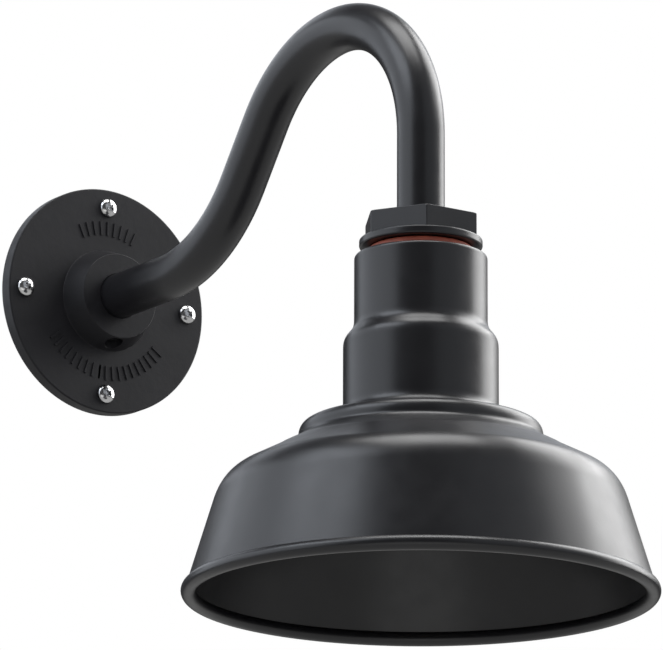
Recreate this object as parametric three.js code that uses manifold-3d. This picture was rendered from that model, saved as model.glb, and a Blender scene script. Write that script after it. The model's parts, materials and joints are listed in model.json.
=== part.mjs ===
// Outdoor gooseneck wall lantern with an eight-inch spun shade. Millimetres, +Z up.
// The origin is the centre of the wall plate's back face, on the axis of its hub.
// The wall is the plane y = 0, and the lamp stands out from it towards -Y.
import * as THREE from 'three';
import { mergeVertices } from 'three/addons/utils/BufferGeometryUtils.js';
import Module from 'manifold-3d';

const wasm = await Module();
wasm.setup();

// ---------------------------------------------------------------- driving dimensions

// Clearances
const gap = 0.3;                    // between pieces that touch
const holeClearance = 0.4;          // round a screw shank
const overlap = 1;                  // how far a cutter or a joined body reaches past a face

// Wall plate and its hub
const plateRadius = 53.2;
const plateEdge = 6.3;
const plateChamfer = 0.5;
const plateRim = 3.0;               // rim round the gasket recess
const recessDepth = 3.0;
const hubHeight = 11.2;             // above the plate's face
const hubBaseRadius = 23.7;
const hubFaceRadius = 20.0;
const pocketRadius = 18.5;          // wiring pocket behind the hub
const pocketDepth = 7.5;
const gasketInnerMargin = 3.5;      // from the pocket's wall to the gasket

// Raised ribs cast on the plate's face, in one band above the hub and one below
const ribLength = 6.6;
const ribWidth = 1.0;
const ribHeight = 0.45;
const ribPitchDeg = 6;
const ribHeadClearance = 2.15;      // from the ribs' outer ends to the screw heads
const upperRibCount = 9;
const lowerRibCount = 19;

// Plate screws, four at quarter turns
const boltInset = 8.75;             // from the plate's edge to the screws' circle
const screwShankRadius = 2.1;
const screwLength = 12.7;
const screwHeadRadius = 4.5;
const screwHeadHeight = 2.6;
const crossLength = 5.0;
const crossWidth = 1.1;
const crossDepth = 1.6;
const slotShare = 1 / 3;            // a slotted head's slot, of the head's radius

// Set screw on the hub's underside, and the ground screw in the pocket
const setScrewRadius = 4.0;
const setScrewLength = 8.6;
const setScrewKeyRadius = 2.0;
const setScrewKeyDepth = 3.0;
const groundScrewRadius = 1.8;
const groundScrewLength = 5.5;
const groundHeadRadius = 2.9;
const groundHeadHeight = 2.2;
const groundScrewAngleDeg = 135;

// Gooseneck arm: a pipe that runs out, bends up, rises straight, arches over and drops
const pipeRadius = 10.4;
const pipeWall = 2.2;
const firstRun = 56.7;              // from the wall to the first bend
const lowBendRadius = 77.3;
const riseAngleDeg = 53.3;
const straightRise = 30.3;
const archRiseRadius = 71.8;        // of the arch as it climbs to its top
const archFallRadius = 62.3;        // and as it comes down again
const legLength = 38.4;             // pipe that shows between the arch and the fitting

// Hex fitting, which screws on to the arm's end and holds the shade
const hexRadius = 26.5;             // to a corner
const hexHeight = 9.4;
const flangeRadius = 26.7;
const flangeHeight = 3.6;
const flangeChamfer = 0.6;
const pipeSocketDepth = 13.3;       // how deep the pipe screws in
const nippleRadius = 15.5;
const wireBoreRadius = 7.0;

// Stack inside the neck, from the fitting's flange down
const siliconeThickness = 3.1;
const siliconeInset = 4.0;          // its edge stands back from the flange's
const washerThickness = 1.5;
const nutHeight = 5.0;
const nutLip = 1.5;                 // the nut's corners stand out past the socket
const nippleEnd = 2.5;              // nipple that shows below the nut
const bracketThickness = 1.8;
const bracketHoleRadius = 8.0;
const bracketInset = 1.0;           // its edge stands in from the socket's
const bracketScrewRadius = 1.5;
const bracketScrewLength = 7.0;
const bracketHeadRadius = 2.6;
const bracketHeadHeight = 2.0;

// Porcelain socket for a 26 mm screw base
const socketRadius = 22.0;
const socketHeight = 46.0;
const socketChamfer = 1.5;
const socketBossHeight = 7.6;
const socketBossRadius = 3.7;
const mouthRadius = 14.6;
const mouthDepth = 36.0;
const shellThickness = 0.5;
const shellLength = 27.0;
const shellThreads = 4;
const shellThreadDepth = 0.5;
const shellSetBack = 6.0;           // from the socket's mouth to the shell
const socketScrewRadius = 1.5;
const socketScrewHeadRadius = 2.8;
const socketScrewHeadHeight = 1.6;
const terminalRadius = 1.6;
const terminalLength = 5.0;
const terminalHeadRadius = 3.2;
const terminalHeadHeight = 2.0;
const terminalOffset = 14.0;

// Centre contact: a brass pad riveted to the socket's floor, and a leaf sprung from it
const contactWidth = 7.0;
const contactThickness = 0.8;
const contactPadLength = 4.5;
const contactLeafLength = 10.0;
const contactDrop = 2.6;            // how far the leaf's tip hangs below its root
const contactSlopeShare = 0.7;      // of the leaf's length, before it levels off
const rivetRadius = 1.0;
const rivetHeadRadius = 1.7;
const rivetHeadHeight = 0.9;

// Spun shade, in three lengths that meet end to end: a stepped neck, a collar and a bell
const shadeWall = 1.4;
const socketAirGap = 5.4;           // from the socket to the inside of the neck
const neckRound = 1.6;
const neckUpperHeight = 28.9;
const neckStep = 4.7;
const neckStepHeight = 12.0;
const neckLowerHeight = 25.1;
const shelfWidth = 13.0;            // from the lower neck out to the ring's round edge
const shelfDrop = 8.25;
const ringRound = 6.1;
const ringRoundDrop = 6.05;
const coveWidth = 11.7;
const coveDrop = 7.4;
const creaseDepth = 0.65;           // from the collar's lower edge down to the bell's upper edge
const coneShare = 0.61;             // of the width from the crease to the flare; the shoulder has the rest
const coneDrop = 7.65;
const shoulderDrop = 13.3;
const flareWidth = 10.9;            // from the shoulder out to the rim's bead
const flareHeight = 35.6;
const beadRadius = 3.2;
const beadSeatDeg = 80;             // where the flare runs into the bead, up from the bead's outermost line
const beadTurnDeg = 330;            // how far the rim is rolled round
const rimRadius = 102.4;            // over the bead

// Handles of the curves in the shade's outline, each [share of the width, share of the drop]
const cornerHandles = [[1, 0]];
const neckStepHandles = [[0, 0.54], [1, 0.46]];
const shelfHandles = [[0, 0.8], [0.35, 0.84]];
const coveHandles = [[0, 0.36], [0.43, 0.55]];
const shoulderHandles = [[0.7, 0.29]];

// Leads
const leadRadius = 1.2;
const leadSpacing = 1.9;            // from the arm's centre line to each lead's

// Roundness of the faceted solids
const shadeSides = 36;
const turnedSides = 24;
const smallSides = 12;
const curveSteps = 3;
const pipeSides = 16;
const boreSides = 8;
const armSteps = 48;
const leadSides = 6;
const leadSteps = 34;
const shortLeadSteps = 16;
const mergeDistance = 1e-4;         // corners nearer than this are one corner

// ---------------------------------------------------------------- sizes that follow

const boltCircleRadius = plateRadius - boltInset;
const ribOuterRadius = boltCircleRadius - screwHeadRadius - ribHeadClearance;
const hubFace = plateEdge + hubHeight;
const setScrewOut = (pocketDepth + hubFace) / 2;
const groundScrewCircle = (pocketRadius + pipeRadius) / 2;

const riseAngle = THREE.MathUtils.degToRad(riseAngleDeg);
const archTopOut = firstRun + (lowBendRadius + archRiseRadius) * Math.sin(riseAngle)
  + straightRise * Math.cos(riseAngle);
const archTopZ = (lowBendRadius + archRiseRadius) * (1 - Math.cos(riseAngle))
  + straightRise * Math.sin(riseAngle);
const reach = archTopOut + archFallRadius;
const archEndZ = archTopZ - archFallRadius;
const armStart = pocketDepth + gap;

// Heights at the lamp end are measured from the top of the hex fitting
const fittingTopZ = archEndZ - legLength;
const flangeTop = -hexHeight;
const flangeBottom = flangeTop - flangeHeight;
const neckTop = flangeBottom - siliconeThickness - 2 * gap;
const washerTop = neckTop - shadeWall - gap;
const nutTop = washerTop - washerThickness - gap;
const nippleBottom = nutTop - nutHeight - nippleEnd;
const bracketTop = nippleBottom - gap;
const bracketBottom = bracketTop - bracketThickness;
const socketTop = bracketBottom - gap - socketBossHeight;
const socketBottom = socketTop - socketHeight;
const socketFloor = socketBottom + mouthDepth;
const socketScrewCircle = (mouthRadius + socketRadius) / 2;
const nutRadius = socketRadius + nutLip;
const bracketScrewCircle = (wireBoreRadius + nippleRadius) / 2;
const neckHoleRadius = nippleRadius + holeClearance;
const neckRadius = socketRadius + socketAirGap + shadeWall;
const beadCentreRadius = rimRadius - beadRadius;
const beadSeat = THREE.MathUtils.degToRad(beadSeatDeg);
const pipeBottom = -pipeSocketDepth;
const padOffset = (contactLeafLength + contactPadLength) / 2;

// ---------------------------------------------------------------- materials

function finish(color, roughness, metalness) {
  return new THREE.MeshStandardMaterial({ color, roughness, metalness });
}
const blackPaint = finish(0x202024, 0.42, 0.3);
const blackCasting = finish(0x1d1d20, 0.6, 0.3);
const stainless = finish(0xc9c9cb, 0.25, 1);
const plainSteel = finish(0x8e9094, 0.4, 1);
const blackSteel = finish(0x1a1a1c, 0.5, 0.8);
const brass = finish(0xc09a4c, 0.35, 1);
const greenPaint = finish(0x2f7a45, 0.5, 0.2);
const siliconeRubber = finish(0x9a4a30, 0.6, 0);
const foam = finish(0x2b2b2d, 0.95, 0);
const porcelain = finish(0xe9e5da, 0.2, 0);
const blackWire = finish(0x18181a, 0.5, 0);
const whiteWire = finish(0xe4e2dc, 0.5, 0);
const greenWire = finish(0x2c8a4a, 0.5, 0);

// ---------------------------------------------------------------- shape helpers

function closedSurface(geometry) {
  const bare = geometry.clone();
  bare.deleteAttribute('normal');
  bare.deleteAttribute('uv');
  return mergeVertices(bare, mergeDistance);
}

function signedVolume(vertProperties, triVerts) {
  const corner = (index) => new THREE.Vector3().fromArray(vertProperties, 3 * index);
  let volume = 0;
  for (let i = 0; i < triVerts.length; i += 3) {
    const [a, b, c] = [corner(triVerts[i]), corner(triVerts[i + 1]), corner(triVerts[i + 2])];
    volume += a.dot(b.cross(c)) / 6;
  }
  return volume;
}

// A closed geometry as a solid for joining and cutting, with its faces pointing out
function solid(geometry) {
  const surface = closedSurface(geometry);
  const vertProperties = Float32Array.from(surface.attributes.position.array);
  const triVerts = Uint32Array.from(surface.index.array);
  if (signedVolume(vertProperties, triVerts) < 0) triVerts.reverse();
  return new wasm.Manifold(new wasm.Mesh({ numProp: 3, vertProperties, triVerts }));
}

function surfaceOf(body) {
  const { vertProperties, triVerts } = body.getMesh();
  const geometry = new THREE.BufferGeometry();
  geometry.setAttribute('position', new THREE.BufferAttribute(Float32Array.from(vertProperties), 3));
  geometry.setIndex(new THREE.BufferAttribute(Uint32Array.from(triVerts), 1));
  geometry.computeVertexNormals();
  return geometry;
}

function piece(name, body, material) {
  const mesh = new THREE.Mesh(surfaceOf(body), material);
  mesh.name = name;
  return mesh;
}

// Turned about +Z. The outline is a list of [radius, height]
function turned(outline, sides = turnedSides) {
  const points = outline.map(([radius, height]) => new THREE.Vector2(radius, height));
  return solid(new THREE.LatheGeometry(points, sides).rotateX(Math.PI / 2));
}

// Turned about the wall's normal. The outline is a list of [radius, distance from the wall]
function turnedOut(outline, sides = turnedSides) {
  const points = outline.map(([radius, out]) => new THREE.Vector2(radius, -out));
  return solid(new THREE.LatheGeometry(points, sides));
}

function ring(inner, outer, bottom, top, sides) {
  return turned([[inner, bottom], [outer, bottom], [outer, top], [inner, top], [inner, bottom]], sides);
}

function rod(radius, bottom, top, sides = smallSides) {
  return turned([[0, bottom], [radius, bottom], [radius, top], [0, top]], sides);
}

// A screw that points down from z = 0: a flat head with a slot in its top, and a shank
function slottedScrew(head, headHeight, shank, length) {
  const body = turned([[0, -length], [shank, -length], [shank, 0], [head, 0], [head, headHeight],
    [0, headHeight]], smallSides);
  const slot = new THREE.BoxGeometry(2 * head + overlap, slotShare * head, headHeight);
  return body.subtract(solid(slot.translate(0, 0, headHeight)));
}

// A round section swept along a path; a hole of holeRadius runs all through if it is given
function swept(path, radius, sides, steps, holeRadius = 0) {
  const section = new THREE.Shape(circlePoints(radius, sides));
  if (holeRadius > 0) section.holes.push(new THREE.Path(circlePoints(holeRadius, boreSides)));
  return solid(new THREE.ExtrudeGeometry(section, { steps, extrudePath: path, bevelEnabled: false }));
}

function circlePoints(radius, sides) {
  const at = (i) => (2 * Math.PI * i) / sides;
  return Array.from({ length: sides }, (_, i) => new THREE.Vector2(radius * Math.cos(at(i)),
    radius * Math.sin(at(i))));
}

// Moves a flat line of [radius, height] points by a distance to its left-hand side
function offsetLine(points, distance) {
  return points.map((point, i) => {
    const before = points[Math.max(i - 1, 0)];
    const after = points[Math.min(i + 1, points.length - 1)];
    const into = new THREE.Vector2().subVectors(point, before);
    const out = new THREE.Vector2().subVectors(after, point);
    if (i === 0) into.copy(out);
    if (i === points.length - 1) out.copy(into);
    into.normalize();
    out.normalize();
    const side = new THREE.Vector2(-(into.y + out.y), into.x + out.x).normalize();
    const stretch = Math.max(side.dot(new THREE.Vector2(-into.y, into.x)), 0.5);
    return new THREE.Vector2(point.x + (side.x * distance) / stretch,
      point.y + (side.y * distance) / stretch);
  });
}

// ---------------------------------------------------------------- wall side

const quarterTurns = [['top', 90], ['left', 180], ['bottom', 270], ['right', 0]];

// A point on the wall's plane at an angle about the hub's axis, seen from the room
function onPlate(radius, angleDeg, out) {
  const angle = THREE.MathUtils.degToRad(angleDeg);
  return new THREE.Vector3(radius * Math.cos(angle), -out, radius * Math.sin(angle));
}

function wallPlate() {
  const bore = pipeRadius + gap;
  let body = turnedOut([[bore, hubFace], [hubFaceRadius, hubFace], [hubBaseRadius, plateEdge],
    [plateRadius - plateChamfer, plateEdge], [plateRadius, plateEdge - plateChamfer], [plateRadius, 0],
    [plateRadius - plateRim, 0], [plateRadius - plateRim, recessDepth], [pocketRadius, recessDepth],
    [pocketRadius, pocketDepth], [bore, pocketDepth], [bore, hubFace]], shadeSides);
  for (const [, angleDeg] of quarterTurns) {
    const hole = rod(screwShankRadius + holeClearance, -overlap, plateEdge + overlap);
    const at = onPlate(boltCircleRadius, angleDeg, 0);
    body = body.subtract(hole.rotate([90, 0, 0]).translate([at.x, at.y, at.z]));
  }
  const setHole = rod(setScrewRadius + gap, -hubBaseRadius - overlap, -pipeRadius + overlap);
  body = body.subtract(setHole.translate([0, -setScrewOut, 0]));
  const groundAt = onPlate(groundScrewCircle, groundScrewAngleDeg, pocketDepth);
  const groundHole = rod(groundScrewRadius + gap, -overlap, groundScrewLength + gap);
  body = body.subtract(groundHole.rotate([90, 0, 0]).translate([groundAt.x, groundAt.y, groundAt.z]));
  return ribBand(90, upperRibCount).concat(ribBand(270, lowerRibCount))
    .reduce((all, rib) => all.add(rib), body);
}

function ribBand(middleDeg, count) {
  const middle = ribOuterRadius - ribLength / 2;
  return Array.from({ length: count }, (_, i) => {
    const angleDeg = middleDeg + (i - (count - 1) / 2) * ribPitchDeg;
    const at = onPlate(middle, angleDeg, plateEdge);
    const box = new THREE.BoxGeometry(ribLength, 2 * ribHeight, ribWidth);
    return solid(box).rotate([0, -angleDeg, 0]).translate([at.x, at.y, at.z]);
  });
}

function plateGasket() {
  const inner = pocketRadius + gasketInnerMargin;
  const outer = plateRadius - plateRim - gap;
  let body = turnedOut([[inner, gap], [outer, gap], [outer, recessDepth - gap],
    [inner, recessDepth - gap], [inner, gap]]);
  for (const [, angleDeg] of quarterTurns) {
    const at = onPlate(boltCircleRadius, angleDeg, 0);
    const hole = rod(screwShankRadius + holeClearance, -overlap, recessDepth + overlap);
    body = body.subtract(hole.rotate([90, 0, 0]).translate([at.x, at.y, at.z]));
  }
  return body;
}

// A domed head with a cross recess, on a plain shank that points into the wall
function plateScrew() {
  const dome = new THREE.EllipseCurve(0, gap, screwHeadRadius, screwHeadHeight, 0, Math.PI / 2);
  const shankEnd = gap - screwLength;
  const outline = [[0, shankEnd], [screwShankRadius, shankEnd], [screwShankRadius, gap],
    ...dome.getPoints(curveSteps).map((point) => [Math.max(point.x, 0), point.y])];
  outline[outline.length - 1][0] = 0;
  let body = turned(outline, smallSides);
  for (const [length, width] of [[crossLength, crossWidth], [crossWidth, crossLength]]) {
    const slot = new THREE.BoxGeometry(length, width, 2 * crossDepth);
    body = body.subtract(solid(slot.translate(0, 0, gap + screwHeadHeight)));
  }
  return body.rotate([90, 0, 0]);
}

// A headless screw with a hex key socket, along the radius under the hub
function hubSetScrew() {
  const inner = -(pipeRadius + gap);
  const outer = inner - setScrewLength;
  const key = rod(setScrewKeyRadius, outer - overlap, outer + setScrewKeyDepth, 6);
  return rod(setScrewRadius, outer, inner).subtract(key).translate([0, -setScrewOut, 0]);
}

function groundScrew() {
  const body = slottedScrew(groundHeadRadius, groundHeadHeight, groundScrewRadius, groundScrewLength);
  const at = onPlate(groundScrewCircle, groundScrewAngleDeg, pocketDepth - gap);
  return body.rotate([-90, 0, 0]).translate([at.x, at.y, at.z]);
}

// From beside the ground screw's head round the pocket and out to its mouth
function groundLead() {
  const start = groundHeadRadius + leadRadius + gap;
  const bend = 2 * leadRadius;
  const level = pocketDepth - gap - leadRadius;
  const place = (along, out) => onPlate(groundScrewCircle,
    groundScrewAngleDeg + THREE.MathUtils.radToDeg(along / groundScrewCircle), out);
  const points = [place(start, level), place(start + bend, level),
    place(start + 2 * bend, level - leadRadius), place(start + 2 * bend + leadRadius, leadRadius)];
  return swept(new THREE.CatmullRomCurve3(points), leadRadius, leadSides, shortLeadSteps / 2);
}

// ---------------------------------------------------------------- arm

// The arm's centre line, or a line that runs beside it towards +X
function armLine(start, end, aside = 0) {
  const line = new THREE.CurvePath();
  const place = (out, up) => new THREE.Vector3(aside, -out, up);
  const arc = (centreOut, centreUp, radius, from, to) => {
    const curve = new THREE.Curve();
    curve.getPoint = (t) => {
      const angle = THREE.MathUtils.lerp(from, to, t);
      return place(centreOut + radius * Math.sin(angle), centreUp - radius * Math.cos(angle));
    };
    return curve;
  };
  const lowArc = arc(firstRun, lowBendRadius, lowBendRadius, 0, riseAngle);
  const climb = arc(archTopOut, archTopZ - archRiseRadius, archRiseRadius, Math.PI + riseAngle, Math.PI);
  const fall = arc(archTopOut, archEndZ, archFallRadius, Math.PI, Math.PI / 2);
  line.add(new THREE.LineCurve3(place(start, 0), lowArc.getPoint(0)));
  line.add(lowArc);
  line.add(new THREE.LineCurve3(lowArc.getPoint(1), climb.getPoint(0)));
  line.add(climb);
  line.add(fall);
  line.add(new THREE.LineCurve3(fall.getPoint(1), place(reach, end)));
  return line;
}

function gooseneckArm() {
  const line = armLine(armStart, fittingTopZ + pipeBottom);
  return swept(line, pipeRadius, pipeSides, armSteps, pipeRadius - pipeWall);
}

function armLead(aside) {
  return swept(armLine(leadRadius, fittingTopZ + pipeBottom, aside), leadRadius, leadSides, leadSteps);
}

// ---------------------------------------------------------------- lamp end

// The hex's corners point along X, so one of its flats faces the wall
function hexFitting() {
  const hex = rod(hexRadius, flangeTop - overlap, 0, 6).rotate([0, 0, 30]);
  const flange = turned([[0, flangeBottom], [flangeRadius - flangeChamfer, flangeBottom],
    [flangeRadius, flangeBottom + flangeChamfer], [flangeRadius, flangeTop - flangeChamfer],
    [flangeRadius - flangeChamfer, flangeTop], [0, flangeTop]]);
  const nipple = rod(nippleRadius, nippleBottom, flangeBottom + overlap, turnedSides);
  let body = hex.add(flange).add(nipple);
  body = body.subtract(rod(pipeRadius + gap, pipeBottom - gap, overlap, turnedSides));
  body = body.subtract(rod(wireBoreRadius, nippleBottom - overlap, 0, smallSides));
  for (const at of bracketScrewPlaces()) {
    const hole = rod(bracketScrewRadius + gap, nippleBottom - overlap, nippleBottom + bracketScrewLength);
    body = body.subtract(hole.translate(at));
  }
  return body;
}

function bracketScrewPlaces() {
  const side = bracketScrewCircle * Math.SQRT1_2;
  return [[side, side, 0], [-side, -side, 0]];
}

function fittingGasket() {
  const outer = flangeRadius - siliconeInset;
  return ring(neckHoleRadius, outer, neckTop + gap, flangeBottom - gap);
}

// Carries a line on by a width and a drop: straight, or curved if it has one or two handles
function lineOn(line, width, drop, handles = []) {
  const from = line.currentPoint;
  const points = [...handles, [1, 1]].flatMap(([across, down]) => [from.x + across * width,
    from.y - down * drop]);
  if (handles.length === 0) line.lineTo(...points);
  if (handles.length === 1) line.quadraticCurveTo(...points);
  if (handles.length === 2) line.bezierCurveTo(...points);
}

// The neck's outer line, from the hole in its top down to the collar
function neckOuterLine() {
  const line = new THREE.Path();
  line.moveTo(neckHoleRadius, 0);
  lineOn(line, neckRadius - neckRound - neckHoleRadius, 0);
  lineOn(line, neckRound, neckRound, cornerHandles);
  lineOn(line, 0, neckUpperHeight - neckRound);
  lineOn(line, neckStep, neckStepHeight, neckStepHandles);
  lineOn(line, 0, neckLowerHeight);
  return line;
}

function shadeNeck() {
  const outer = neckOuterLine().getPoints(curveSteps);
  const inner = offsetLine(outer, -shadeWall).filter((point) => point.x > neckHoleRadius).reverse();
  const innerTop = new THREE.Vector2(neckHoleRadius, -shadeWall);
  return turnedShade([...outer, ...inner, innerTop, outer[0]]);
}

// The collar's outer line, from the neck out over its ring and down to the crease
function collarOuterLine() {
  const neckEnd = neckOuterLine().currentPoint;
  const line = new THREE.Path();
  line.moveTo(neckEnd.x, neckEnd.y - gap);
  lineOn(line, shelfWidth, shelfDrop - gap, shelfHandles);
  lineOn(line, ringRound, ringRoundDrop, cornerHandles);
  lineOn(line, coveWidth, coveDrop, coveHandles);
  return line;
}

function shadeCollar() {
  const outer = collarOuterLine().getPoints(curveSteps);
  return turnedShade([...outer, ...offsetLine(outer, -shadeWall).reverse(), outer[0]]);
}

// The bell's outer line, from the crease down to the rim's bead
function bellOuterLine() {
  const crease = collarOuterLine().currentPoint;
  const line = new THREE.Path();
  line.moveTo(crease.x, crease.y - creaseDepth);
  const widthLeft = beadCentreRadius + beadRadius * Math.cos(beadSeat) - flareWidth - crease.x;
  lineOn(line, coneShare * widthLeft, coneDrop);
  lineOn(line, (1 - coneShare) * widthLeft, shoulderDrop, shoulderHandles);
  lineOn(line, flareWidth, flareHeight);
  return line;
}

// The bead is rolled inwards from the flare's lower edge, round to the flare's inner side
function shadeBell() {
  const outer = bellOuterLine().getPoints(curveSteps);
  const inner = offsetLine(outer, -shadeWall).reverse();
  const end = outer[outer.length - 1];
  const turn = THREE.MathUtils.degToRad(beadTurnDeg);
  const bead = new THREE.EllipseCurve(beadCentreRadius, end.y - beadRadius * Math.sin(beadSeat),
    beadRadius, beadRadius, beadSeat, beadSeat - turn, true).getPoints(3 * curveSteps);
  return turnedShade([...outer, ...bead.slice(1), ...inner.slice(1), outer[0]]);
}

function turnedShade(outline) {
  return turned(outline.map((point) => [point.x, point.y]), shadeSides).translate([0, 0, neckTop]);
}

function neckWasher() {
  return ring(neckHoleRadius, nutRadius, washerTop - washerThickness, washerTop);
}

function neckLockNut() {
  const bottom = nutTop - nutHeight;
  const bore = rod(neckHoleRadius, bottom - overlap, nutTop + overlap, turnedSides);
  return rod(nutRadius, bottom, nutTop, 6).subtract(bore);
}

function socketBracket() {
  let body = ring(bracketHoleRadius, socketRadius - bracketInset, bracketBottom, bracketTop);
  const holes = bracketScrewPlaces().map((at) => [at, bracketScrewRadius]);
  holes.push(...socketScrewPlaces().map((at) => [at, socketScrewRadius]));
  for (const [at, radius] of holes) {
    const hole = rod(radius + gap, bracketBottom - overlap, bracketTop + overlap);
    body = body.subtract(hole.translate(at));
  }
  return body;
}

// Up through the bracket into the fitting's nipple, with its head under the bracket
function bracketScrew(at) {
  const body = slottedScrew(bracketHeadRadius, bracketHeadHeight, bracketScrewRadius,
    bracketScrewLength + bracketThickness);
  return body.rotate([180, 0, 0]).translate([at[0], at[1], bracketBottom - gap]);
}

function socketScrewPlaces() {
  return [[0, -socketScrewCircle, 0], [0, socketScrewCircle, 0]];
}

function terminalPlaces() {
  return [[-terminalOffset, 0, 0], [terminalOffset, 0, 0]];
}

function socketBody() {
  let body = turned([[0, socketBottom], [socketRadius - socketChamfer, socketBottom],
    [socketRadius, socketBottom + socketChamfer], [socketRadius, socketTop - socketChamfer],
    [socketRadius - socketChamfer, socketTop], [0, socketTop]]);
  for (const at of socketScrewPlaces()) {
    const boss = rod(socketBossRadius, socketTop - overlap, bracketBottom - gap);
    body = body.add(boss.translate([at[0], at[1], 0]));
  }
  body = body.subtract(rod(mouthRadius, socketBottom - overlap, socketFloor, turnedSides));
  for (const at of socketScrewPlaces()) {
    const shank = rod(socketScrewRadius + gap, socketBottom - overlap, bracketBottom + overlap);
    const head = rod(socketScrewHeadRadius + gap, socketBottom - overlap,
      socketBottom + socketScrewHeadHeight + gap);
    body = body.subtract(shank.translate(at)).subtract(head.translate(at));
  }
  for (const at of terminalPlaces()) {
    const hole = rod(terminalRadius + gap, socketTop - terminalLength - gap, socketTop + overlap);
    body = body.subtract(hole.translate(at));
  }
  return body;
}

// A thin brass shell whose wall is rolled into a coarse thread
function screwShell() {
  const bottom = socketBottom + shellSetBack;
  const outer = mouthRadius - gap;
  const pitch = shellLength / shellThreads;
  const wave = Array.from({ length: 4 * shellThreads + 1 }, (_, i) => {
    const inward = shellThreadDepth * (1 - Math.cos((i * Math.PI) / 2));
    return [outer - inward, bottom + (i * pitch) / 4];
  });
  const inner = wave.map(([radius, height]) => [radius - shellThickness, height]).reverse();
  return turned([...wave, ...inner, wave[0]]);
}

function contactPad() {
  const top = socketFloor - gap;
  const pad = new THREE.BoxGeometry(contactWidth, contactPadLength, contactThickness);
  pad.translate(0, padOffset, top - contactThickness / 2);
  const hole = rod(rivetRadius + gap, top - contactThickness - overlap, top + overlap);
  return solid(pad).subtract(hole.translate([0, padOffset, 0]));
}

function contactRivet() {
  const under = socketFloor - 2 * gap - contactThickness;
  return turned([[0, under - rivetHeadHeight], [rivetHeadRadius, under - rivetHeadHeight],
    [rivetHeadRadius, under], [rivetRadius, under], [rivetRadius, socketFloor - gap], [0, socketFloor - gap]],
  smallSides).translate([0, padOffset, 0]);
}

// The leaf runs from the pad's edge towards the socket's axis and hangs below its root
function centreContact() {
  const root = padOffset - contactPadLength / 2 - gap;
  const top = socketFloor - gap;
  const tip = root - contactLeafLength;
  const bend = root - contactSlopeShare * contactLeafLength;
  const side = new THREE.Shape([[root, top], [bend, top - contactDrop], [tip, top - contactDrop],
    [tip, top - contactDrop - contactThickness], [bend, top - contactDrop - contactThickness],
    [root, top - contactThickness]].map(([along, up]) => new THREE.Vector2(along, up)));
  const leaf = new THREE.ExtrudeGeometry(side, { depth: contactWidth, bevelEnabled: false });
  leaf.translate(0, 0, -contactWidth / 2).rotateY(Math.PI / 2).rotateX(Math.PI / 2);
  return solid(leaf);
}

function socketScrew(at) {
  const length = bracketTop - socketBottom - socketScrewHeadHeight;
  const body = slottedScrew(socketScrewHeadRadius, socketScrewHeadHeight, socketScrewRadius, length);
  return body.rotate([180, 0, 0]).translate([at[0], at[1], socketBottom + socketScrewHeadHeight]);
}

function terminalScrew(at) {
  const body = slottedScrew(terminalHeadRadius, terminalHeadHeight, terminalRadius, terminalLength);
  return body.translate([at[0], at[1], socketTop + gap]);
}

// From a terminal screw's head in to the axis and up through the fitting to the arm's end
function socketLead(side) {
  const bend = 2 * leadRadius;
  const level = socketTop + gap + leadRadius;
  const start = terminalOffset - terminalHeadRadius - leadRadius - gap;
  const points = [[start, level], [start - leadRadius, level + gap], [leadSpacing + bend, level + bend],
    [leadSpacing, level + 2 * bend], [leadSpacing, bracketTop], [leadSpacing, pipeBottom - gap]];
  const line = new THREE.CatmullRomCurve3(points.map(([out, up]) => new THREE.Vector3(side * out, 0, up)));
  return swept(line, leadRadius, leadSides, shortLeadSteps);
}

// ---------------------------------------------------------------- assembly

const lantern = new THREE.Group();
lantern.name = 'gooseneck_wall_lantern';

lantern.add(piece('wall_plate', wallPlate(), blackCasting));
lantern.add(piece('plate_gasket', plateGasket(), foam));
for (const [place, angleDeg] of quarterTurns) {
  const screw = piece(`plate_screw_${place}`, plateScrew(), stainless);
  screw.position.copy(onPlate(boltCircleRadius, angleDeg, plateEdge));
  lantern.add(screw);
}
lantern.add(piece('hub_set_screw', hubSetScrew(), blackSteel));
lantern.add(piece('ground_screw', groundScrew(), greenPaint));
lantern.add(piece('ground_lead', groundLead(), greenWire));
lantern.add(piece('gooseneck_arm', gooseneckArm(), blackPaint));
lantern.add(piece('line_lead_in_arm', armLead(-leadSpacing), blackWire));
lantern.add(piece('neutral_lead_in_arm', armLead(leadSpacing), whiteWire));

const lamp = new THREE.Group();
lamp.position.set(0, -reach, fittingTopZ);
lantern.add(lamp);
lamp.add(piece('hex_fitting', hexFitting(), blackPaint));
lamp.add(piece('fitting_gasket', fittingGasket(), siliconeRubber));
lamp.add(piece('shade_neck', shadeNeck(), blackPaint));
lamp.add(piece('shade_collar', shadeCollar(), blackPaint));
lamp.add(piece('shade_bell', shadeBell(), blackPaint));
lamp.add(piece('neck_washer', neckWasher(), plainSteel));
lamp.add(piece('neck_lock_nut', neckLockNut(), plainSteel));
lamp.add(piece('socket_bracket', socketBracket(), plainSteel));
lamp.add(piece('bracket_screw_right', bracketScrew(bracketScrewPlaces()[0]), plainSteel));
lamp.add(piece('bracket_screw_left', bracketScrew(bracketScrewPlaces()[1]), plainSteel));
lamp.add(piece('socket_body', socketBody(), porcelain));
lamp.add(piece('screw_shell', screwShell(), brass));
lamp.add(piece('contact_pad', contactPad(), brass));
lamp.add(piece('contact_rivet', contactRivet(), plainSteel));
lamp.add(piece('centre_contact', centreContact(), brass));
lamp.add(piece('socket_screw_front', socketScrew(socketScrewPlaces()[0]), plainSteel));
lamp.add(piece('socket_screw_back', socketScrew(socketScrewPlaces()[1]), plainSteel));
lamp.add(piece('line_terminal_screw', terminalScrew(terminalPlaces()[0]), brass));
lamp.add(piece('neutral_terminal_screw', terminalScrew(terminalPlaces()[1]), plainSteel));
lamp.add(piece('line_lead_at_socket', socketLead(-1), blackWire));
lamp.add(piece('neutral_lead_at_socket', socketLead(1), whiteWire));

export default lantern;
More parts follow.
